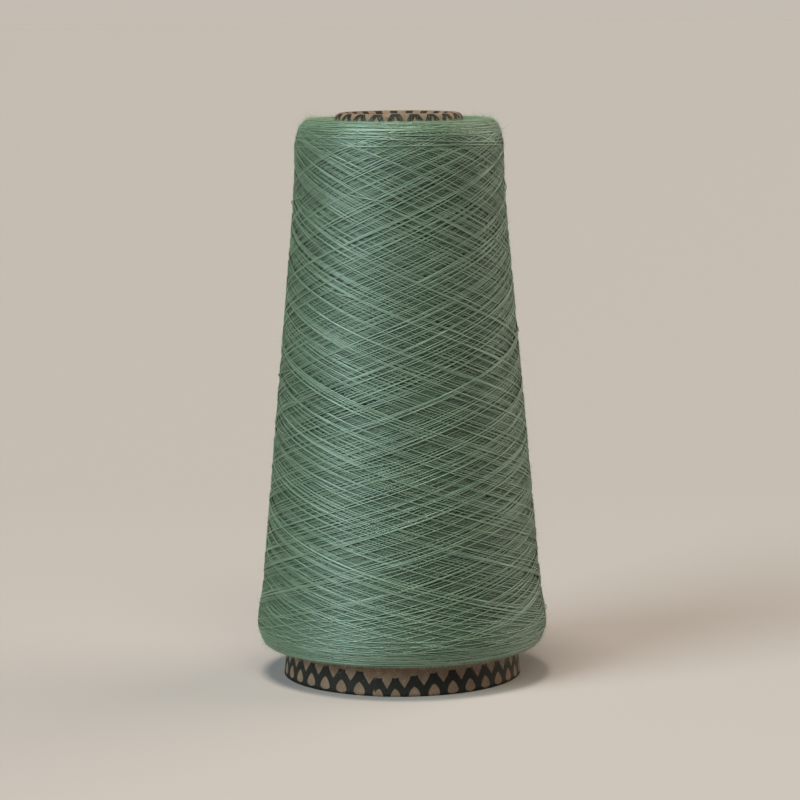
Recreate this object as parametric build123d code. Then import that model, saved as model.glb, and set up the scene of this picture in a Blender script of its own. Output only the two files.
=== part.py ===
from build123d import *
import math
import os

# A yarn cone: a paper winding cone made of bonded plies, and the yarn wound on it.
# Millimetres. The cone's axis is +Z, and the base rim stands on Z = 0 around the origin.

# --- paper cone -------------------------------------------------------------------------
CONE_LENGTH = 170.0          # base rim to the top of the turned-in nose
BASE_OUTER_RADIUS = 36.0
HALF_ANGLE = 5.7             # degrees, a common winding taper
LINER_PLY = 0.3              # inside facing ply, plain kraft
BOARD_PLY = 1.0              # grey board plies that give the wall its strength
PRINTED_PLY = 0.3            # outside facing ply, the printed sheet
NOSE_FOLD_RADIUS = 0.6       # inside radius of the turned-in nose
NOSE_LEG = 3.5               # how far the turned-in edge runs back down inside the cone

# --- yarn package -----------------------------------------------------------------------
YARN_FOOT_Z = 9.8            # the lowest windings lie on the paper here
YARN_HEAD_Z = 165.8          # the highest windings lie on the paper here
FOOT_CORNER_WIDTH = 3.3      # width of the foot's rounded edge
FOOT_CORNER = (42.8, 11.9)   # (radius, height) half-way round that edge
FOOT_RADIUS = 43.9           # widest windings, above the foot
FOOT_WIDEST_Z = 15.8
FLANK_LOW = (42.25, 28.0)    # (radius, height) where the straight flank starts
FLANK_HIGH = (32.65, 134.5)  # (radius, height) where it ends
HEAD_RADIUS = 31.35          # the head's turnaround windings bulge past the flank's line
HEAD_WIDEST_Z = 159.0
SHOULDER = (30.3, 164.8)     # (radius, height) on the head's rounded edge
RIDGE_RADIUS = 26.3          # top ridge of the head, where the end face starts
RIDGE_Z = 168.1
SURFACE_DEPTH = 1.5          # thickness of the loose, visible cross-wound layers

os.makedirs("parts", exist_ok=True)

WALL = LINER_PLY + BOARD_PLY + PRINTED_PLY
TAPER = math.tan(math.radians(HALF_ANGLE))


def cone_radius(height, depth):
    """Radius of the cone wall at a height, at a depth under its outer surface."""
    return BASE_OUTER_RADIUS - depth / math.cos(math.radians(HALF_ANGLE)) - TAPER * height


def nose_centre():
    """Centre, as (radius, height), of the arc that turns the wall in at the nose."""
    bend = NOSE_FOLD_RADIUS + WALL
    height = CONE_LENGTH - bend
    return cone_radius(height, bend), height


def layer_points(depth):
    """Points along one surface of the wall, from the base rim to the turned-in edge.

    depth is how far the surface lies under the outer one. The wall runs up the taper,
    round the nose about one common centre, and back down parallel to the taper.
    """
    centre_r, centre_z = nose_centre()
    bend = NOSE_FOLD_RADIUS + WALL - depth
    slope = math.radians(HALF_ANGLE)
    outward = (math.cos(slope), math.sin(slope))
    down = (math.sin(slope), -math.cos(slope))
    start = (cone_radius(0, depth), 0)
    bend_start = (centre_r + bend * outward[0], centre_z + bend * outward[1])
    crown = (centre_r, centre_z + bend)
    bend_end = (centre_r - bend * outward[0], centre_z - bend * outward[1])
    edge = (bend_end[0] + NOSE_LEG * down[0], bend_end[1] + NOSE_LEG * down[1])
    return start, bend_start, crown, bend_end, edge


def spin(profile_edges):
    """Closed profile edges, drawn as (radius, height), turned once round the axis."""
    return revolve(make_face(Plane.XZ * Curve(profile_edges)), Axis.Z)


def cone_ply(outer_depth, inner_depth):
    """One ply of the cone, between two depths under the wall's outer surface."""
    outer = layer_points(outer_depth)
    inner = layer_points(inner_depth)
    edges = [
        Line(outer[0], outer[1]),
        ThreePointArc(outer[1], outer[2], outer[3]),
        Line(outer[3], outer[4]),
        Line(outer[4], inner[4]),
        Line(inner[4], inner[3]),
        ThreePointArc(inner[3], inner[2], inner[1]),
        Line(inner[1], inner[0]),
        Line(inner[0], outer[0]),
    ]
    return spin(edges)


def package_edges(depth):
    """Foot-to-head edges of the yarn at a depth under its outer surface."""
    def inset(radius, height):
        return radius - depth, height

    foot_z = YARN_FOOT_Z + depth
    foot_start = (cone_radius(foot_z, 0), foot_z)
    foot_end = (FOOT_RADIUS - depth - FOOT_CORNER_WIDTH, foot_z)
    foot_corner = inset(FOOT_CORNER[0], FOOT_CORNER[1] + depth)
    foot_side = inset(FOOT_RADIUS, FOOT_WIDEST_Z + depth)
    flank_low = inset(*FLANK_LOW)
    flank_high = inset(*FLANK_HIGH)
    head_side = inset(HEAD_RADIUS, HEAD_WIDEST_Z - depth)
    shoulder = inset(SHOULDER[0], SHOULDER[1] - depth)
    ridge = inset(RIDGE_RADIUS, RIDGE_Z - depth)
    head_end_z = YARN_HEAD_Z - depth
    head_end = (cone_radius(head_end_z, 0), head_end_z)
    up = (0, 1)
    along_flank = (flank_high[0] - flank_low[0], flank_high[1] - flank_low[1])
    return [
        Line(foot_start, foot_end),
        Spline(foot_end, foot_corner, foot_side, tangents=[(1, 0), up]),
        Spline(foot_side, flank_low, tangents=[up, along_flank]),
        Line(flank_low, flank_high),
        Spline(flank_high, head_side, tangents=[along_flank, up]),
        Spline(head_side, shoulder, ridge, tangents=[up, (-1, 0)]),
        Line(ridge, head_end),
    ]


def yarn_core():
    """The tight windings next to the paper, up to the visible layers."""
    edges = package_edges(SURFACE_DEPTH)
    edges.append(Line(edges[-1] @ 1, edges[0] @ 0))
    return spin(edges)


def yarn_surface():
    """The visible cross-wound layers, a shell all over the core."""
    outer = package_edges(0)
    inner = package_edges(SURFACE_DEPTH)
    closing = [
        Line(outer[-1] @ 1, inner[-1] @ 1),
        Line(inner[0] @ 0, outer[0] @ 0),
    ]
    return spin(outer + inner + closing)


def main():
    nodes = {
        "cone_inner_ply": cone_ply(PRINTED_PLY + BOARD_PLY, WALL),
        "cone_board_plies": cone_ply(PRINTED_PLY, PRINTED_PLY + BOARD_PLY),
        "cone_printed_ply": cone_ply(0, PRINTED_PLY),
        "yarn_core_windings": yarn_core(),
        "yarn_surface_windings": yarn_surface(),
    }
    for name, solid in nodes.items():
        solid.label = name
        export_step(solid, f"parts/{name}.step")


main()
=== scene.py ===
import math

import bpy
import numpy as np
from mathutils import Matrix, Vector
from mathutils.bvhtree import BVHTree


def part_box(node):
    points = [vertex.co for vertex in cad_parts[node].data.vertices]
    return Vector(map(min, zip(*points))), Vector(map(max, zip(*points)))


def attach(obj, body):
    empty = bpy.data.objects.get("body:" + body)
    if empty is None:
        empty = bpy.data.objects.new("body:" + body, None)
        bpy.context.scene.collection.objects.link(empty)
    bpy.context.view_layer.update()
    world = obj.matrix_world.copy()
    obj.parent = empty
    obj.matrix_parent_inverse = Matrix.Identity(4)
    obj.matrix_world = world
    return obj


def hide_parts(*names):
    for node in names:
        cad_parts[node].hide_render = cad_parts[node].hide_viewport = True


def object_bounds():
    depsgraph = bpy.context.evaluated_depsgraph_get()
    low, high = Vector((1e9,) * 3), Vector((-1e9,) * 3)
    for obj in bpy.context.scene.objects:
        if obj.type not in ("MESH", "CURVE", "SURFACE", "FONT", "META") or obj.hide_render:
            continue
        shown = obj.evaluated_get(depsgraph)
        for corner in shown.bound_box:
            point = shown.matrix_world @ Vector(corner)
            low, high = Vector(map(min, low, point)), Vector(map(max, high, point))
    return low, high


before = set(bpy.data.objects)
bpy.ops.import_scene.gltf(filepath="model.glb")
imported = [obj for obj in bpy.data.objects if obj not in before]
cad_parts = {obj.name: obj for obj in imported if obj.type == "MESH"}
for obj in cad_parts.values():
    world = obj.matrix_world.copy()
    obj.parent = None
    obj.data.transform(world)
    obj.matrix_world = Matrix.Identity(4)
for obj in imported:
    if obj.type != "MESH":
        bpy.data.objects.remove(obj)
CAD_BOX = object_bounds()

MM = 0.001
TURN = 2 * math.pi
RNG = np.random.default_rng(20)

# --- camera, in metres and degrees ------------------------------------------------------
CAMERA_DISTANCE = 0.9116
CAMERA_HEIGHT = 0.2010
CAMERA_SIDE = -0.0002
CAMERA_PITCH = 7.354
CAMERA_ROLL = 0.36
LENS = 136.85                # on a sensor 36 mm wide

# --- yarn, in millimetres ---------------------------------------------------------------
STRAND = 0.29                # diameter of the yarn
PASSES = 1900                # traverses from one end of the package to the other
BURIED = 560                 # the first ones, which the later ones hide
PASS_TURNS = 2.0             # turns round the package in one traverse
PASS_STEP = 7 / 11 + 0.0011  # turns by which each second traverse moves on
STEP_SWAY = 0.0005           # slow change of that step, up and down
SWAY_PASSES = 143.0          # traverses in one such change
PITCH_FOOT = 66.0            # climb in one turn at the foot
PITCH_GAIN = 24.0            # what the climb gains on the way to the head
MEAN_RADIUS = 37.0           # of the package
SAMPLE_STEP = 0.8            # spacing of the samples that settle a strand's height
LAID_TOGETHER = 213          # samples settled at a time: less than one turn
POINT_EVERY = 5              # one mesh ring for this many samples
SIDES = 5                    # of a strand's mesh
PIECES = 12                  # meshes that the windings are split into
CELL = 0.25                  # cell of the height map
SETTLE = 0.38                # share of the diameter that a crossing adds to the height
LUMP = 10                    # cells over which the package's lumps are levelled
RELIEF = 0.30                # most that a strand stands above the level of its neighbours
DEPTH = 0.52                 # most that it lies below it
PROUD = 0.80                 # depth of that level below the CAD surface, in diameters
LIE_LOW = 0.50               # strands this far below their neighbours' level get the darkest painted shade
LIE_SPAN = 0.62              # and those this much above them get none of it
FIBRES = 9500                # loose fibres in each piece of them
FIBRE_RADIUS = 0.021         # at the root
FIBRE_RINGS = 4
FIBRE_SIDES = 3
UNDER_INSET = 1.1            # depth of the solid body below the modelled strands

# --- printed paper, in millimetres and degrees; angles are from the front, to the right ---
HALF_ANGLE = 5.7             # of the cone
PLY = 0.3                    # the paper's thickness
BEAD_RADIUS = 2.2            # outside of the rolled nose
NOSE_LEG = 3.5               # length of paper turned down inside the nose
FLANK_LENGTH = 168.86        # along the paper from the base to where the nose bends
LAP_STEP = 0.25              # height of the lap's edge
LAP_ANGLE = -13.2            # where that edge is
LAP_FADE = 75.0              # degrees over which its step fades to nothing
COLUMNS = 481                # of the ply's mesh, round the cone
BASE_PITCH = 9.533           # between two peaks of the base's net
BASE_PEAK = 5.5              # where its first whole peak is
BASE_REPEATS = 35            # whole repeats from that peak round to the lap
NARROW_PEAKS = (-11.1, -3.5) # the two peaks next to the lap
LAST_GAP = 2.765             # repeats left over between the last whole peak and the first
NOSE_PITCH = 360 / 21        # between two arches of the nose's net
NOSE_PEAK = -3.0             # where its first arch is
SLIP_ANGLES = (-11, -3, 6, 15, 25, 45, 290, 320, 340, 347)
SLIPS = (1.75, 1.7, 1.05, 0.5, 0.0, -0.1, -0.6, -0.35, 0.15, 0.8)  # the net lies lower there


WINDOW = np.hanning(9) / np.hanning(9).sum()


def smooth(t):
    """The cubic that rises from 0 to 1 as t does, flat at both ends."""
    t = np.clip(t, 0.0, 1.0)
    return t * t * (3 - 2 * t)


def softened(values):
    """values, each averaged with its four neighbours on either side."""
    return np.convolve(np.pad(values, 4, "edge"), WINDOW, "valid")


def upright(turn, radius, height):
    """Points at the angles turn, counted from +X, and at a radius and height."""
    return np.stack([radius * np.cos(turn), radius * np.sin(turn), height], -1)


# --- camera, light and floor ------------------------------------------------------------
def add_camera():
    data = bpy.data.cameras.new("camera")
    data.lens = LENS
    data.sensor_width = 36
    camera = bpy.data.objects.new("camera", data)
    place = Matrix.Translation((CAMERA_SIDE, -CAMERA_DISTANCE, CAMERA_HEIGHT))
    tilt = Matrix.Rotation(math.radians(90 - CAMERA_PITCH), 4, "X")
    roll = Matrix.Rotation(math.radians(-CAMERA_ROLL), 4, "Z")
    camera.matrix_world = place @ tilt @ roll
    bpy.context.collection.objects.link(camera)
    bpy.context.scene.camera = camera


def add_sun(name, azimuth, elevation, softness, strength, tint):
    """Even light from one side. azimuth is the side it comes from, 0 being the camera's and
    90 the right; softness is how wide the source looks, in degrees."""
    data = bpy.data.lights.new(name, "SUN")
    data.energy = strength
    data.angle = math.radians(softness)
    data.color = tint
    light = bpy.data.objects.new(name, data)
    a, e = math.radians(azimuth), math.radians(elevation)
    source = Vector((math.sin(a) * math.cos(e), -math.cos(a) * math.cos(e), math.sin(e)))
    light.rotation_euler = source.to_track_quat("Z", "Y").to_euler()
    bpy.context.collection.objects.link(light)


def add_lights():
    add_sun("window", -51, 30, 36, 2.6, (0.80, 0.99, 1.0))
    add_sun("ceiling", -40, 80, 16, 1.9, (1.0, 0.97, 0.84))
    add_sun("front", 15, 52, 26, 0.62, (0.96, 1.0, 0.78))
    add_sun("room", 112, 28, 60, 1.6, (1.0, 0.91, 0.74))
    world = bpy.data.worlds.new("world")
    world.use_nodes = True
    background = world.node_tree.nodes["Background"]
    background.inputs["Color"].default_value = (0.55, 0.505, 0.447, 1)
    world.cycles_visibility.diffuse = False
    world.cycles_visibility.glossy = False
    bpy.context.scene.world = world
    bpy.context.scene.view_settings.view_transform = "Standard"


# --- materials --------------------------------------------------------------------------
class Shader:
    """A node material in the making: short calls that add a node and give its output."""

    def __init__(self, name, roughness):
        self.material = bpy.data.materials.new(name)
        self.material.use_nodes = True
        self.tree = self.material.node_tree
        self.surface = self.tree.nodes["Principled BSDF"]
        self.surface.inputs["Roughness"].default_value = roughness

    def node(self, kind, **settings):
        made = self.tree.nodes.new(kind)
        for key, value in settings.items():
            setattr(made, key, value)
        return made

    def feed(self, socket, value):
        if isinstance(value, bpy.types.NodeSocket):
            self.tree.links.new(value, socket)
        elif value is not None:
            socket.default_value = value

    def math(self, operation, a, b=None, c=None, clamp=False):
        made = self.node("ShaderNodeMath", operation=operation, use_clamp=clamp)
        for socket, value in zip(made.inputs, (a, b, c)):
            self.feed(socket, value)
        return made.outputs[0]

    def mix(self, factor, low, high):
        """Blend of two colours."""
        made = self.node("ShaderNodeMix", data_type="RGBA")
        self.feed(made.inputs[0], factor)
        self.feed(made.inputs[6], low)
        self.feed(made.inputs[7], high)
        return made.outputs[2]

    def ramp(self, value, low, high):
        """value from low to high, as 0 to 1."""
        made = self.node("ShaderNodeMapRange", clamp=True)
        self.feed(made.inputs["Value"], value)
        made.inputs["From Min"].default_value = low
        made.inputs["From Max"].default_value = high
        return made.outputs[0]

    def noise(self, vector, scale, detail=2.0, roughness=0.5):
        made = self.node("ShaderNodeTexNoise")
        self.feed(made.inputs["Vector"], vector)
        made.inputs["Scale"].default_value = scale
        made.inputs["Detail"].default_value = detail
        made.inputs["Roughness"].default_value = roughness
        return made.outputs["Fac"]

    def position(self):
        return self.node("ShaderNodeTexCoord").outputs["Object"]

    def scaled(self, vector, scale):
        made = self.node("ShaderNodeMapping")
        self.feed(made.inputs["Vector"], vector)
        made.inputs["Scale"].default_value = scale
        return made.outputs[0]

    def bump(self, height, strength, distance):
        made = self.node("ShaderNodeBump")
        made.inputs["Strength"].default_value = strength
        made.inputs["Distance"].default_value = distance
        self.feed(made.inputs["Height"], height)
        self.feed(self.surface.inputs["Normal"], made.outputs[0])


def colour(red, green, blue):
    """An sRGB colour, given as 0 to 255, as the linear value that shaders take."""
    def linear(value):
        value /= 255
        return value / 12.92 if value <= 0.04045 else ((value + 0.055) / 1.055) ** 2.4

    return linear(red), linear(green), linear(blue), 1.0


def yarn_material():
    """Dyed yarn: plies twisted together, uneven dye, and a soft gloss. Painted shade: the
    grooves between the plies are painted a little darker, and strands that lie low, and the
    side of a strand that faces down into the package, are painted darker and less glossy."""
    shader = Shader("yarn", 0.42)
    strand = shader.node("ShaderNodeUVMap", uv_map="strand").outputs[0]
    split = shader.node("ShaderNodeSeparateXYZ")
    shader.feed(split.inputs[0], strand)
    along, around = split.outputs[0], split.outputs[1]
    drift = shader.noise(shader.scaled(strand, (60.0, 1.0, 1.0)), 1.0, 3.0, 0.6)
    twist_length = 0.0014
    twist = shader.math("ADD", shader.math("MULTIPLY", along, 1 / twist_length), around)
    groove = shader.math("SINE", shader.math("MULTIPLY", twist, TURN))
    # painted shade: the twist's grooves darken the yarn's colour a little, over its uneven dye
    tone = shader.math("MULTIPLY_ADD", groove, 0.10, drift, clamp=True)
    tint = shader.mix(shader.ramp(tone, 0.25, 0.78), colour(95, 120, 95), colour(123, 146, 119))
    # painted shade: strands that lie low and the side of a strand facing into the package are
    # painted darker, and their gloss is lowered with it
    lie = shader.node("ShaderNodeAttribute", attribute_name="lie").outputs["Fac"]
    turned = shader.math("MULTIPLY", shader.math("ADD", around, 0.5 / SIDES), TURN)
    facing = shader.math("COSINE", turned)
    painted_depth_shade = shader.math("MULTIPLY_ADD", lie, 0.50, 0.50)
    painted_side_shade = shader.math("MULTIPLY_ADD", shader.ramp(facing, -0.1, 0.9), 0.82, 0.18)
    painted_shade = shader.math("MULTIPLY", painted_depth_shade, painted_side_shade)
    # the painted shade's dark green
    tint = shader.mix(painted_shade, colour(14, 34, 20), tint)
    shader.feed(shader.surface.inputs["Specular IOR Level"], painted_shade)
    shader.feed(shader.surface.inputs["Base Color"], tint)
    shader.surface.inputs["IOR"].default_value = 1.75
    shader.surface.inputs["Specular Tint"].default_value = (0.82, 0.99, 1.0, 1.0)
    shader.bump(shader.math("ADD", groove, drift), 0.35, 0.00004)
    return shader.material


def fibre_material():
    """Single fibres: lighter than the yarn and matte."""
    shader = Shader("yarn_fibre", 0.6)
    patches = shader.noise(shader.position(), 300.0, 2.0)
    tint = shader.mix(patches, colour(128, 148, 122), colour(176, 188, 162))
    shader.feed(shader.surface.inputs["Base Color"], tint)
    return shader.material


def under_yarn_material():
    """The windings glimpsed between the strands: the same yarn, painted dark as if in shadow."""
    shader = Shader("yarn_core", 0.85)
    fine = shader.noise(shader.scaled(shader.position(), (300.0, 300.0, 2600.0)), 1.0, 2.0)
    # painted shade: the yarn's colour darkened as if in shadow
    tint = shader.mix(fine, colour(44, 60, 47), colour(72, 92, 74))
    shader.feed(shader.surface.inputs["Base Color"], tint)
    shader.bump(fine, 0.6, 0.0002)
    return shader.material


def plain_paper(name, dark, light):
    """Uncoated paper: mottled pulp with fine darker and lighter fibres."""
    shader = Shader(name, 0.88)
    place = shader.position()
    pulp = shader.noise(place, 450.0, 4.0, 0.6)
    fibres = shader.noise(shader.scaled(place, (900.0, 900.0, 5200.0)), 1.0, 2.0, 0.7)
    tone = shader.math("MULTIPLY_ADD", fibres, 0.5, shader.math("MULTIPLY", pulp, 0.5))
    tint = shader.mix(shader.ramp(tone, 0.3, 0.7), dark, light)
    shader.feed(shader.surface.inputs["Base Color"], tint)
    shader.bump(fibres, 0.25, 0.00008)
    return shader.material


def printed_kraft_material():
    """Brown kraft paper with a net of pointed arches printed in black along both rims.

    The "print" map holds the place across the net, in repeats, and the distance up the
    paper from the base, in millimetres. Its upper half counts the nose's own repeats.
    """
    shader = Shader("printed_kraft", 0.72)
    place = shader.position()
    split = shader.node("ShaderNodeSeparateXYZ")
    shader.feed(split.inputs[0], shader.node("ShaderNodeUVMap", uv_map="print").outputs[0])
    bleed = shader.math("MULTIPLY_ADD", shader.noise(place, 2600.0, 2.0), 0.36, -0.18)
    repeat = shader.math("FRACT", shader.math("ADD", split.outputs[0], 0.5))
    across = shader.math("ABSOLUTE", shader.math("SUBTRACT", repeat, 0.5))
    up = shader.math("ADD", split.outputs[1], bleed)
    ink = shader.math("MAXIMUM", base_net(shader, across, up), nose_net(shader, across, up))
    pulp = shader.noise(place, 420.0, 5.0, 0.62)
    fibres = shader.noise(shader.scaled(place, (1500.0, 1500.0, 5200.0)), 1.0, 3.0, 0.7)
    tone = shader.math("MULTIPLY_ADD", fibres, 0.55, shader.math("MULTIPLY", pulp, 0.45))
    kraft = shader.mix(shader.ramp(tone, 0.32, 0.68), colour(101, 80, 66), colour(152, 128, 108))
    scuffs = shader.ramp(shader.noise(place, 900.0, 4.0, 0.75), 0.60, 0.74)
    black = shader.mix(shader.ramp(fibres, 0.35, 0.75), colour(24, 23, 20), colour(44, 43, 38))
    worn = shader.mix(shader.math("MULTIPLY", scuffs, 0.35), black, kraft)
    shader.feed(shader.surface.inputs["Base Color"], shader.mix(ink, kraft, worn))
    shader.feed(shader.surface.inputs["Roughness"], shader.math("MULTIPLY_ADD", ink, -0.14, 0.80))
    shader.surface.inputs["Specular IOR Level"].default_value = 0.25
    shader.bump(shader.math("ADD", fibres, pulp), 0.30, 0.00007)
    return shader.material


def base_net(shader, across, up):
    """Ink along the base: peaks with flat tops, each with a drop-shaped opening in it.
    across runs from 0 at a peak to half a repeat."""
    pitch = 5.92
    x = shader.math("MULTIPLY", across, pitch)
    slope = shader.math("MAXIMUM", shader.math("SUBTRACT", x, 1.15), 0.0)
    top = shader.math("MULTIPLY_ADD", slope, -1.45, 7.15)
    top = shader.math("MULTIPLY_ADD", shader.ramp(x, 1.13, 1.25), -0.75, top)
    ear = shader.math("POWER", shader.math("MULTIPLY", x, 1 / 1.15), 4.0)
    ear = shader.math("MINIMUM", shader.math("MULTIPLY", ear, 0.25), 0.25)
    below = shader.ramp(shader.math("SUBTRACT", shader.math("ADD", top, ear), up), -0.06, 0.06)
    over = shader.math("MAXIMUM", shader.math("MULTIPLY_ADD", up, 1 / 2.5, -1.5 / 2.5), 0.0)
    under = shader.math("MAXIMUM", shader.math("MULTIPLY_ADD", up, -1 / 1.25, 1.5 / 1.25), 0.0)
    drop = shader.math("POWER", shader.math("MULTIPLY", x, 1 / 1.75), 1.5)
    drop = shader.math("ADD", drop, shader.math("POWER", over, 1.35))
    drop = shader.math("ADD", drop, shader.math("POWER", under, 3.0))
    return shader.math("MULTIPLY", below, shader.ramp(drop, 0.96, 1.06))


def nose_net(shader, across, up):
    """Ink round the nose: a row of arches on the outside and a row of bars over the top."""
    pitch = 5.5
    x = shader.math("MULTIPLY", across, pitch)
    rise = shader.math("SUBTRACT", up, FLANK_LENGTH)
    flare = shader.math("MULTIPLY_ADD", rise, -0.48, 1.2 + 0.48 * 2.5)
    arch = shader.ramp(shader.math("SUBTRACT", flare, x), -0.06, 0.06)
    arch = shader.math("MULTIPLY", arch, shader.ramp(rise, 2.56, 2.44))
    light = shader.math("MULTIPLY_ADD", x, 1 / 0.95, 0.38)
    light = shader.math("MULTIPLY_ADD", rise, 0.5, light)
    arch = shader.math("MULTIPLY", arch, shader.ramp(light, 0.94, 1.06))
    arch = shader.math("MULTIPLY", arch, shader.math("GREATER_THAN", rise, -20.0))
    bar = shader.math("MULTIPLY", shader.ramp(x, 1.36, 1.24), shader.ramp(rise, 3.9, 4.02))
    return shader.math("MAXIMUM", arch, bar)


# --- meshes -----------------------------------------------------------------------------
def mesh_object(name, points, loops, starts, maps=(), lie=None):
    """An object from flat arrays: points in millimetres, each face's corners in turn, and
    UV maps as pairs of a name and one value for each corner. lie says how high each point
    lies among the strands, from 0 to 1."""
    mesh = bpy.data.meshes.new(name)
    mesh.vertices.add(len(points))
    mesh.vertices.foreach_set("co", (points * MM).astype(np.float32).ravel())
    mesh.loops.add(len(loops))
    mesh.loops.foreach_set("vertex_index", loops.astype(np.int32))
    mesh.polygons.add(len(starts))
    mesh.polygons.foreach_set("loop_start", starts.astype(np.int32))
    mesh.update(calc_edges=True)
    mesh.polygons.foreach_set("use_smooth", np.full(len(starts), True))
    if lie is not None:
        attribute = mesh.attributes.new("lie", "FLOAT", "POINT")
        attribute.data.foreach_set("value", lie.astype(np.float32))
    for layer, values in maps:
        uv_layer = mesh.uv_layers.new(name=layer)
        uv_layer.data.foreach_set("uv", values.astype(np.float32).ravel())
    mesh.validate()
    obj = bpy.data.objects.new(name, mesh)
    bpy.context.collection.objects.link(obj)
    return obj


def finish_piece(obj, material):
    obj.data.materials.clear()
    obj.data.materials.append(material)
    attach(obj, "root")
    return obj


# --- the package's profile, read off the CAD solid --------------------------------------
def package_profile():
    """Points (radius, height) along the package's outside, from paper at the foot to paper
    at the head, evenly spaced by CELL, with the outward normal at each, in millimetres."""
    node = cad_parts["yarn_surface_windings"]
    corners = [v.co.copy() for v in node.data.vertices]
    tree = BVHTree.FromPolygons(corners, [tuple(p.vertices) for p in node.data.polygons])
    low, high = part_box("yarn_surface_windings")
    far = 2 * high.x

    def hit(place, direction):
        found = tree.ray_cast(Vector(place), Vector(direction))[0]
        return None if found is None else (found.x / MM, found.z / MM)

    radii = np.linspace(0.4 * high.x, 0.999 * high.x, 400)
    heights = np.linspace(low.z + 1e-5, high.z - 1e-5, 900)
    foot = [hit((r, 0, -far), (0, 0, 1)) for r in radii]
    flank = [hit((far, 0, z), (-1, 0, 0)) for z in heights]
    head = [hit((r, 0, 2 * far + high.z), (0, 0, -1)) for r in radii[::-1]]
    middle = (low.z + high.z) / 2 / MM
    foot = [p for p in foot if p and p[1] < low.z / MM + 2.0]
    head = [p for p in head if p and p[1] > high.z / MM - 3.0]
    flank = [p for p in flank if p and foot[-1][1] < p[1] < head[0][1]]
    outline = np.array(foot + flank + head)
    step = np.hypot(*np.diff(outline, axis=0).T)
    outline = outline[np.r_[True, step > 1e-4]]
    length = np.r_[0, np.cumsum(np.hypot(*np.diff(outline, axis=0).T))]
    even = np.arange(0, length[-1], CELL)
    radius = np.interp(even, length, outline[:, 0])
    height = np.interp(even, length, outline[:, 1])
    radius[4:-4] = np.convolve(radius, WINDOW, "valid")
    height[4:-4] = np.convolve(height, WINDOW, "valid")
    foot_rim = 40.5
    slope_r, slope_z = np.gradient(radius), np.gradient(height)
    norm = np.hypot(slope_r, slope_z)
    return {
        "length": even[-1],
        "radius": radius,
        "height": height,
        "normal_r": slope_z / norm,
        "normal_z": -slope_r / norm,
        "foot_edge": even[np.argmax(radius > foot_rim)],
        "head_edge": even[np.argmax(height)],
    }


def at(profile, key, place):
    """One of the profile's values at distances along it."""
    return np.interp(place / CELL, np.arange(len(profile[key])), profile[key])


# --- winding ----------------------------------------------------------------------------
def wander(theta, size, rates):
    """A small random swing to either side as the angle theta grows."""
    return sum(RNG.normal(0, size) * np.sin(theta * f + RNG.uniform(0, TURN)) for f in rates)


def winding_path(profile):
    """The yarn's course over the package: angle and place along the profile, sample by
    sample, and the number of the sample that each traverse starts with.

    Each traverse climbs or falls at the drum's own pitch, faster near the nose, and turns
    back near an edge in a short curve. The next one starts where it ends. One in ten turns
    back early.
    """
    foot, head = profile["foot_edge"], profile["head_edge"]
    turns = RNG.exponential(1.5, PASSES + 1)
    deep = RNG.random(PASSES + 1) < 0.10
    turns = np.where(deep, turns + RNG.uniform(2.0, 11.0, PASSES + 1), turns) - 1.0
    ends = np.where(np.arange(PASSES + 1) % 2 == 0, foot + turns * 1.2, head - turns)
    angles, places = [], []
    angle = 0.0
    for k in range(PASSES):
        start, end = ends[k], ends[k + 1]
        run = abs(end - start)
        d = run * smooth(np.linspace(0, 1, 500))
        share = np.clip((start + np.sign(end - start) * d - foot) / (head - foot), 0, 1)
        pitch = PITCH_FOOT + PITCH_GAIN * share + RNG.normal(0, 1.6)
        reach = 5.5 + 3.5 * RNG.random()
        soft = (1 - np.exp(-(d + 0.05) / reach)) * (1 - np.exp(-(run - d + 0.05) / reach))
        local = pitch * soft**0.8
        middle = (local[1:] + local[:-1]) / 2
        phi = np.r_[0, np.cumsum(TURN * np.diff(d) / middle)]
        step = PASS_STEP + STEP_SWAY * math.sin(TURN * k / SWAY_PASSES)
        total = PASS_TURNS + step / 2 + RNG.normal(0, 0.0006)
        phi *= TURN * total / phi[-1]
        count = int(phi[-1] * MEAN_RADIUS / SAMPLE_STEP)
        even = np.linspace(0, phi[-1], count, endpoint=False)
        along = np.interp(even, phi, d)
        inner = np.sin(math.pi * even / phi[-1]) ** 0.5
        along = along + wander(even, 0.12, (0.7, 1.3, 2.4)) * inner
        angles.append(angle + even)
        places.append(start + np.sign(end - start) * along)
        angle += phi[-1]
    starts = np.r_[0, np.cumsum([len(a) for a in angles])]
    return np.concatenate(angles), np.concatenate(places), starts


def taut(support, sag):
    """The lowest course over the supports that a taut strand can take: their upper hull,
    with the package's curve, which falls away from a chord as sag says, allowed for."""
    n = len(support)
    place = np.arange(n, dtype=float)
    bent = support - sag * place * place
    hull = []
    for i in range(n):
        while len(hull) > 1:
            a, b = hull[-2], hull[-1]
            if (bent[b] - bent[a]) * (i - b) <= (bent[i] - bent[b]) * (b - a):
                hull.pop()
            else:
                break
        hull.append(i)
    return np.interp(place, hull, bent[hull]) + sag * place * place


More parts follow.
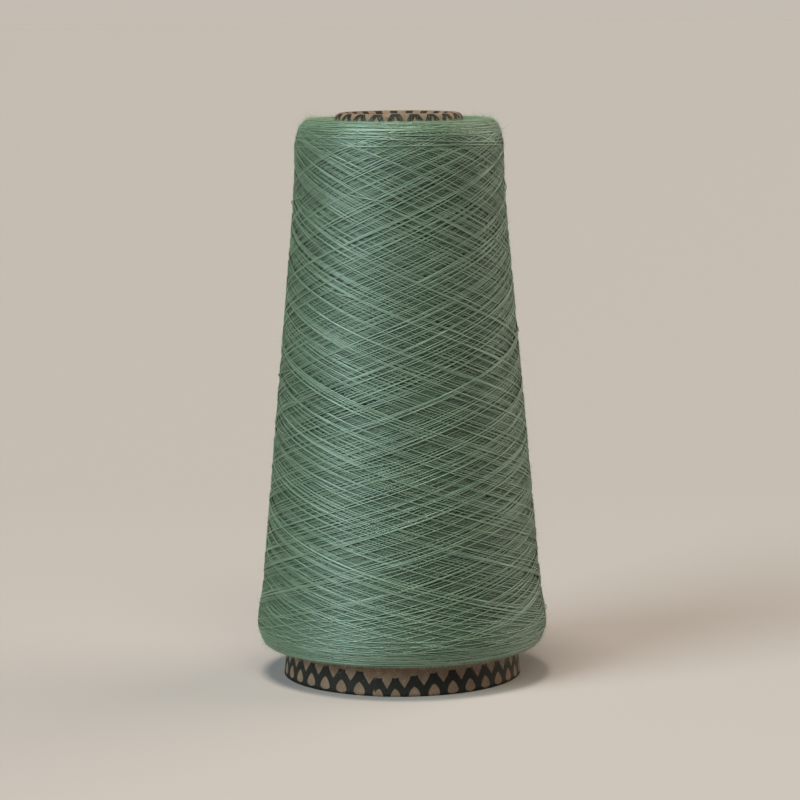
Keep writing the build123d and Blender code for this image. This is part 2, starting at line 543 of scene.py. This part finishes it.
def settle(profile, angle, place):
    """Height of the yarn's centre over the package's first layer, laid strand over strand,
    and the height map that it leaves."""
    columns = int(TURN * MEAN_RADIUS / CELL)
    rows = len(profile["radius"])
    ground = np.zeros((columns, rows), np.float32)
    column = (angle / TURN * columns).astype(np.int64) % columns
    row = np.clip((place / CELL), 1, rows - 2)
    height = np.zeros(len(angle))
    for first in range(0, len(angle), LAID_TOGETHER):
        part = slice(first, min(first + LAID_TOGETHER, len(angle)))
        c, r = column[part], row[part]
        base = np.floor(r).astype(np.int64)
        under = np.maximum(ground[c, base], ground[c, base + 1])
        under = np.maximum(under, ground[(c + 1) % columns, base])
        radius = at(profile, "radius", place[part]).mean()
        sag = (SAMPLE_STEP**2) / (2 * radius) * 0.8
        if first:
            under[0] = max(under[0], height[first - 1] - STRAND * 0.5)
        course = 0.6 * taut(under, sag) + 0.4 * softened(under)
        height[part] = course + STRAND * 0.5
        top = (course + STRAND * SETTLE).astype(np.float32)
        for dc in (0, 1, 2, 3):
            for dr in (0, 1):
                np.maximum.at(ground, ((c + dc) % columns, base + dr), top)
    return height, ground


def blurred(values, reach):
    """values, a map round the package, blurred over reach cells; it joins up round the
    package, and stops at its first and last row."""
    columns, rows = values.shape
    pad = 4 * reach
    tall = np.pad(values, ((0, 0), (pad, pad)))
    across = np.fft.fftfreq(columns)[:, None]
    along = np.fft.rfftfreq(rows + 2 * pad)[None]
    filtered = np.fft.rfft2(tall) * np.exp(-2 * (math.pi * reach) ** 2 * (across**2 + along**2))
    return np.fft.irfft2(filtered, tall.shape)[:, pad:-pad]


def level(profile, angle, place, height, ground):
    """Height measured from the CAD surface: each ring of the package is brought to its own
    radius, then lumps wider than a few millimetres are taken out. The strands' own relief
    stays, limited both ways and lower near the package's edges."""
    columns, rows = ground.shape
    wound = (ground > 0).astype(float)
    covered = wound.sum(0)
    known = covered > 0.3 * columns
    mean = ground.sum(0)[known] / covered[known]
    ring = softened(np.interp(np.arange(rows), np.where(known)[0], mean))
    lumps = blurred((ground - ring) * wound, LUMP) / np.maximum(blurred(wound, LUMP), 0.02)
    column = (angle / TURN * columns).astype(np.int64) % columns
    row = np.clip(place / CELL, 0, rows - 1).astype(np.int64)
    relief = height - ring[row] - lumps[column, row]
    most = np.where(relief > 0, RELIEF, DEPTH)
    from_edge = np.minimum(place - profile["foot_edge"], profile["head_edge"] - place)
    relief = most * np.tanh(relief / most) * (0.35 + 0.65 * smooth(from_edge / 18.0))
    return relief - STRAND * PROUD


def strand_points(profile, angle, place, height):
    """Rings of points round part of the yarn, and the length up to each ring."""
    up_r = at(profile, "normal_r", place)
    up_z = at(profile, "normal_z", place)
    r = at(profile, "radius", place) + up_r * height
    z = at(profile, "height", place) + up_z * height
    centre = upright(angle, r, z)
    up = upright(angle, up_r, up_z)
    tangent = np.gradient(centre, axis=0)
    tangent /= np.linalg.norm(tangent, axis=1)[:, None]
    up -= (up * tangent).sum(1)[:, None] * tangent
    up /= np.linalg.norm(up, axis=1)[:, None]
    side = np.cross(tangent, up)
    turn = (TURN * (np.arange(SIDES) + 0.5) / SIDES)[None, :, None]
    flat, wide = 0.92, 1.04
    ring = centre[:, None] + STRAND / 2 * (
        np.cos(turn) * up[:, None] * flat + np.sin(turn) * side[:, None] * wide
    )
    length = np.r_[0, np.cumsum(np.linalg.norm(np.diff(centre, axis=0), axis=1))]
    return ring.reshape(-1, 3), length


def tube_faces(n):
    """The corners of a closed tube of n rings, its quads and then its two end caps, and
    where each face starts among them."""
    i = np.arange(n - 1)[:, None] * SIDES
    k = np.arange(SIDES)[None]
    following = (k + 1) % SIDES
    quads = np.stack([i + k, i + following, i + SIDES + following, i + SIDES + k], -1)
    caps = np.r_[np.arange(SIDES)[::-1], (n - 1) * SIDES + np.arange(SIDES)]
    starts = np.r_[np.arange(0, quads.size + 1, 4), quads.size + SIDES]
    return np.r_[quads.ravel(), caps], starts


def strand_mesh(name, profile, angle, place, height, lie, offset=0.0):
    """A closed tube along part of the yarn, and the length of yarn up to its end."""
    points, length = strand_points(profile, angle, place, height)
    length += offset
    faces = tube_faces(len(length))
    obj = mesh_object(name, points, *faces, strand_uvs(length), np.repeat(lie, SIDES))
    return obj, length[-1]


def join_strands(name, parts, material):
    """One object of several short strands."""
    points, loops, starts, along = [], [], [], []
    used, corners = 0, 0
    for ring, length in parts:
        faces, firsts = tube_faces(len(length))
        points.append(ring)
        loops.append(faces + used)
        starts.append(firsts + corners)
        along.append(strand_uvs(length)[0][1])
        used += len(ring)
        corners += len(faces)
    points, loops, starts, along = map(np.concatenate, (points, loops, starts, along))
    obj = mesh_object(name, points, loops, starts, [("strand", along)], np.ones(len(points)))
    finish_piece(obj, material)


def strand_uvs(length):
    """Two maps: metres along the strand and share of the way round it, and a packed atlas
    in which the strand's quads lie in rows, for whoever bakes its colours."""
    stretches = len(length) - 1
    along = np.stack([length[:-1], length[:-1], length[1:], length[1:]], -1)[:, None, :] * MM
    k = np.arange(SIDES)
    around = np.stack([k, k + 1, k + 1, k], -1)[None] / SIDES
    uv = np.stack(np.broadcast_arrays(along, around), -1).reshape(-1, 2)
    rows = max(int(math.sqrt(stretches * 2 / 11)) + 1, 160)
    per_row = math.ceil(stretches / rows)
    row, cell = np.divmod(np.arange(stretches), per_row)
    u0, u1 = cell / per_row, (cell + 1) / per_row
    u = np.stack([u0, u0, u1, u1], -1)[:, None, :]
    v = (row[:, None, None] + 0.08 + 0.84 * around) / rows
    bake = np.stack(np.broadcast_arrays(u, v), -1).reshape(-1, 2)
    cap = np.zeros((2 * SIDES, 2))
    return ("strand", np.r_[uv, cap]), ("OFBake", np.r_[bake, cap + 0.0005])


def add_windings(profile, material):
    """The visible windings, in pieces that follow on from each other."""
    angle, place, starts = winding_path(profile)
    height, ground = settle(profile, angle, place)
    height = level(profile, angle, place, height, ground)
    # how high each strand lies among its neighbours, 0 to 1: the yarn's material paints shade by
    # it
    lie = np.clip((height + STRAND * PROUD + LIE_LOW) / LIE_SPAN, 0, 1)
    points = np.arange(starts[BURIED], len(angle), POINT_EVERY)
    cuts = np.linspace(0, len(points) - 1, PIECES + 1).astype(int)
    offset = 0.0
    for piece in range(PIECES):
        part = points[cuts[piece]: cuts[piece + 1] + 1]
        name = f"yarn_windings_{piece + 1}"
        course = angle[part], place[part], height[part], lie[part]
        obj, offset = strand_mesh(name, profile, *course, offset)
        finish_piece(obj, material)
    return angle, place, height


def add_end_windings(profile, material, fibre):
    """The turns of yarn where the strands turn back, from the package's flank over its rim
    and down its end face to the paper: close together at the rim, sparser on the flank."""
    foot, head = profile["foot_edge"], profile["head_edge"]
    # The rim's place, the way up the flank from it, and the end face's far edge from it.
    rims = {
        "foot": (foot + 1.0, 1.0, -(foot + 0.5)),
        "head": (head - 1.0, -1.0, profile["length"] - head + 0.5),
    }
    courses = ((0.30, 4.0), (0.31, 5.5), (0.36, 8.0))  # spacing and reach up the flank
    for name, (rim, inward, face) in rims.items():
        angle, place, height = [], [], []
        for course, (spacing, reach) in enumerate(courses):
            along = [face]
            while abs(along[-1] - face) < abs(face) + reach:
                beyond = max(0.0, (along[-1] * inward) / reach)
                along.append(along[-1] + inward * spacing * (1 + 4.0 * beyond**2))
            along = np.array(along[::1 if course % 2 == 0 else -1])
            turns = len(along)
            count = turns * 250 // 3
            theta = TURN * turns * np.linspace(0, 1, count)
            across = np.interp(np.linspace(0, turns - 1, count), np.arange(turns), along)
            across = rim + across + wander(theta, 0.30, (0.31, 0.83, 1.37))
            angle.append(theta + (angle[-1][-1] if angle else 0.0))
            place.append(np.clip(across, 0.3, profile["length"] - 0.3))
            waves = 0.07 * np.sin(theta * 0.47 + RNG.uniform(0, TURN)) + RNG.normal(0, 0.02, count)
            height.append(waves + 0.17 * (course - 2) - 0.05)
        angle, place, height = (np.concatenate(part) for part in (angle, place, height))
        lie = np.ones(len(angle))
        obj, _ = strand_mesh(f"yarn_{name}_turns", profile, angle, place, height, lie)
        finish_piece(obj, material)
        add_fibres(f"yarn_{name}_fibres", profile, fibre, angle, place, height, 0.0)


def add_slack_loops(profile, material):
    """Short stretches of yarn that stand slightly off the package, their ends tucked in."""
    # Angle, place along the profile, height of the bow and half its length.
    places = [(math.radians(0.5), 18.0, 0.45, 3.2)]
    ranges = ((0, TURN), (14, 150), (0.25, 0.6), (4, 9))
    places += [tuple(RNG.uniform(*limits) for limits in ranges) for _ in range(26)]
    parts = []
    for turn, place, lift, half in places:
        along = np.linspace(-half - 3, half + 3, 25)
        slant = math.radians(RNG.uniform(8, 20)) * RNG.choice([-1, 1])
        radius = at(profile, "radius", place)
        angle = turn + along * math.cos(slant) / radius
        bow = np.clip(1 - (along / half) ** 2, 0, 1) ** 1.5
        height = -0.30 + 0.25 * (1 - np.abs(along) / (half + 3)) + lift * bow
        parts.append(strand_points(profile, angle, place + along * math.sin(slant), height))
    join_strands("yarn_slack_loops", parts, material)


def add_fibres(name, profile, material, angle, place, height, buried):
    """Loose fibres that stand off the yarn, apart from its first share, which is buried."""
    count = FIBRES
    pick = RNG.integers(int(buried * len(angle)), len(angle) - 1, count)
    turn, place = angle[pick], place[pick]
    up_r, up_z = at(profile, "normal_r", place), at(profile, "normal_z", place)
    r = at(profile, "radius", place) + up_r * height[pick]
    z = at(profile, "height", place) + up_z * height[pick]
    root = upright(turn, r, z)
    up = upright(turn, up_r, up_z)
    across = np.stack([-np.sin(turn), np.cos(turn), np.zeros(count)], 1)
    along = np.cross(up, across)
    heading = RNG.uniform(0, TURN, count)[:, None]
    side = across * np.cos(heading) + along * np.sin(heading)
    length = (0.5 + RNG.exponential(0.55, count))[:, None]
    rise = RNG.uniform(0.25, 0.95, count)[:, None]
    bend = RNG.normal(0, 0.45, (count, 3))
    share = np.linspace(0, 1, FIBRE_RINGS)[None, :, None]
    course = root[:, None] + length[:, None] * (
        share * (up * rise + side * np.sqrt(1 - rise**2))[:, None] + share**2 * bend[:, None] * 0.6
    )
    course += (share * (1 - share)) * RNG.normal(0, 0.25, (count, 1, 3))
    tangent = np.gradient(course, axis=1)
    tangent /= np.linalg.norm(tangent, axis=2)[..., None]
    one = np.cross(tangent, across[:, None])
    one /= np.linalg.norm(one, axis=2)[..., None]
    two = np.cross(tangent, one)
    turn = (TURN * np.arange(FIBRE_SIDES) / FIBRE_SIDES)[None, None, :, None]
    thick = FIBRE_RADIUS * (1 - 0.6 * share)
    ring = course[:, :, None] + thick[..., None] * (
        np.cos(turn) * one[:, :, None] + np.sin(turn) * two[:, :, None]
    )
    first = np.arange(count)[:, None, None] * (FIBRE_RINGS * FIBRE_SIDES)
    stretch = np.arange(FIBRE_RINGS - 1)[None, :, None]
    k = np.arange(FIBRE_SIDES)[None, None]
    low = first + stretch * FIBRE_SIDES
    high = low + FIBRE_SIDES
    following = (k + 1) % FIBRE_SIDES
    quads = np.stack([low + k, low + following, high + following, high + k], -1)
    last = (FIBRE_RINGS - 1) * FIBRE_SIDES
    caps = np.r_[first[:, 0] + [2, 1, 0], first[:, 0] + last + [0, 1, 2]]
    used = quads.size
    starts = np.r_[np.arange(0, used, 4), used + np.arange(0, caps.size, 3)]
    maps = [("OFBake", fibre_atlas(count, stretch, k, caps.size))]
    loops = np.r_[quads.ravel(), caps.ravel()]
    obj = mesh_object(name, ring.reshape(-1, 3), loops, starts, maps)
    finish_piece(obj, material)


def fibre_atlas(count, stretch, k, cap_corners):
    """A map with a small cell for each fibre, for whoever bakes their colours."""
    cells = math.ceil(math.sqrt(count))
    cell = np.stack(np.divmod(np.arange(count), cells), -1)[:, None, None, None]
    u = (stretch[..., None] + [0, 0, 1, 1]) / (FIBRE_RINGS - 1)
    v = (k[..., None] + [0, 1, 1, 0]) / FIBRE_SIDES
    inside = np.stack(np.broadcast_arrays(u, v), -1)
    quads = ((cell + 0.08 + 0.84 * inside) / cells).reshape(-1, 2)
    return np.r_[quads, np.full((cap_corners, 2), 0.5 / cells)]


def add_under_body(profile, material):
    """The windings below those that are modelled strand by strand."""
    rows = slice(0, None, 4)
    r = profile["radius"][rows] - profile["normal_r"][rows] * UNDER_INSET
    z = profile["height"][rows] - profile["normal_z"][rows] * UNDER_INSET
    inner_r = np.array([at(profile, "radius", 0.0), profile["radius"][-1]]) - 1.2
    r = np.r_[inner_r[0], r, inner_r[1]]
    z = np.r_[profile["height"][0] + 1.0, z, profile["height"][-1] - 1.0]
    segments = 256
    turn = TURN * np.arange(segments) / segments
    points = upright(turn[:, None], r, np.tile(z, (segments, 1))).reshape(-1, 3)
    quads = ring_quads(segments, len(r))
    obj = mesh_object("yarn_under_windings", points, quads.ravel(), np.arange(0, quads.size, 4))
    return finish_piece(obj, material)


def ring_quads(columns, rows):
    """Quads between points in columns of rows, closed in both directions."""
    i, j = np.arange(columns)[:, None], np.arange(rows)[None]
    next_i, next_j = (i + 1) % columns, (j + 1) % rows
    corners = i * rows + j, next_i * rows + j, next_i * rows + next_j, i * rows + next_j
    return np.stack(corners, -1).reshape(-1, 4)


# --- printed paper ply ------------------------------------------------------------------
def paper_outline(inset):
    """Points (radius, height) up the outside of the printed ply, round its nose and down
    inside it, or inset from there, and how far along the outside each one is."""
    base_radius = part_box("cone_printed_ply")[1].x / MM
    slope = math.radians(HALF_ANGLE)
    outward = np.array([math.cos(slope), math.sin(slope)])
    upward = np.array([-math.sin(slope), math.cos(slope)])
    start = np.array([base_radius, 0.0])
    centre = start + FLANK_LENGTH * upward - BEAD_RADIUS * outward
    flank = np.r_[np.linspace(0, 12, 13), np.linspace(12, FLANK_LENGTH, 30)[1:]]
    bend = np.linspace(0, math.pi, 25)[1:]
    leg = np.linspace(0, NOSE_LEG, 5)[1:]
    along_flank = start - inset * outward + flank[:, None] * upward
    radius = BEAD_RADIUS - inset
    bow = np.cos(bend)[:, None] * outward + np.sin(bend)[:, None] * upward
    round_nose = centre + radius * bow
    down_leg = centre - radius * outward - leg[:, None] * upward
    points = np.r_[along_flank, round_nose, down_leg]
    points[:, 1] = np.maximum(points[:, 1], 0.0)
    top = FLANK_LENGTH + BEAD_RADIUS * math.pi
    return points, np.r_[flank, FLANK_LENGTH + BEAD_RADIUS * bend, top + leg]


def lap_columns():
    """Angles in degrees round the ply, starting and ending at the lap's edge, and how far
    the paper stands off the ply below it at each: the lap's edge, fading to nothing."""
    angle = LAP_ANGLE + np.linspace(0, 360, COLUMNS)
    lift = LAP_STEP * (1 - smooth((angle - LAP_ANGLE) / LAP_FADE))
    return angle, lift


def net_place(angle):
    """Repeats of the base's net at an angle, and how far the print has slipped down there.

    Just past the lap the print ran out of step: two repeats are narrow and printed low.
    """
    last_peak = BASE_PEAK + 360 - LAST_GAP * BASE_PITCH
    peaks = np.array([*NARROW_PEAKS, BASE_PEAK, last_peak])
    repeat = np.interp(angle, peaks, [-2, -1, 0, BASE_REPEATS])
    before, after = angle < peaks[0], angle > last_peak
    repeat = np.where(before, -2 + (angle - peaks[0]) / BASE_PITCH, repeat)
    repeat = np.where(after, BASE_REPEATS + (angle - last_peak) / BASE_PITCH, repeat)
    return repeat, np.interp(angle, SLIP_ANGLES, SLIPS)


def add_printed_ply(material):
    """The outer ply: paper rolled round the cone and over its nose, its end lapped over."""
    outside, length = paper_outline(0.0)
    inside, inner_length = paper_outline(PLY)
    outline = np.r_[outside, inside[::-1]]
    up_paper = np.r_[length, inner_length[::-1]]
    normal = np.gradient(outside, axis=0)[:, ::-1] * [1, -1]
    normal /= np.linalg.norm(normal, axis=1)[:, None]
    normal = np.r_[normal, np.zeros_like(inside)]
    angle, lift = lap_columns()
    place = outline[None] + lift[:, None, None] * normal[None]
    turn = np.radians(angle)[:, None]
    radius, height = place[..., 0], place[..., 1]
    points = np.stack([radius * np.sin(turn), -radius * np.cos(turn), height], -1)
    corners = ring_quads(COLUMNS, len(outline))
    repeat, slipped = net_place(angle)
    high = up_paper > FLANK_LENGTH / 2
    across = np.where(high[None], ((angle - NOSE_PEAK) / NOSE_PITCH)[:, None], repeat[:, None])
    up = up_paper[None] + np.where(high[None], 0.0, slipped[:, None])
    uv = np.stack([across, up], -1).reshape(-1, 2)[corners].reshape(-1, 2)
    firsts = np.arange(0, corners.size, 4)
    points = points.reshape(-1, 3)
    obj = mesh_object("printed_ply", points, corners.ravel(), firsts, [("print", uv)])
    finish_piece(obj, material)
    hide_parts("cone_printed_ply")


def add_floor():
    """A plain pale floor, painted slightly darker towards the back as light falling off there."""
    bpy.ops.mesh.primitive_plane_add(size=80, location=(0, 0, CAD_BOX[0].z))
    floor = bpy.context.object
    floor.name = "floor"
    shader = Shader("floor", 0.9)
    split = shader.node("ShaderNodeSeparateXYZ")
    shader.feed(split.inputs[0], shader.position())
    # painted falloff of light: the floor's colour darker towards the back
    back = shader.ramp(split.outputs[1], -0.45, 0.35)
    tint = shader.mix(back, (0.490, 0.426, 0.427, 1), (0.425, 0.370, 0.362, 1))
    shader.feed(shader.surface.inputs["Base Color"], tint)
    floor.data.materials.append(shader.material)


add_camera()
add_lights()
add_floor()
profile = package_profile()
yarn = yarn_material()
angle, place, height = add_windings(profile, yarn)
fibre = fibre_material()
add_end_windings(profile, yarn, fibre)
add_slack_loops(profile, yarn)
for number in (1, 2, 3):
    add_fibres(f"yarn_loose_fibres_{number}", profile, fibre, angle, place, height, 0.72)
under = add_under_body(profile, under_yarn_material())
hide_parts("yarn_core_windings", "yarn_surface_windings")
add_printed_ply(printed_kraft_material())
papers = {
    "cone_inner_ply": plain_paper("liner_paper", colour(118, 96, 76), colour(158, 134, 110)),
    "cone_board_plies": plain_paper("grey_board", colour(104, 96, 86), colour(146, 137, 124)),
}
for node, paper in papers.items():
    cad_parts[node].data.materials.clear()
    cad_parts[node].data.materials.append(paper)
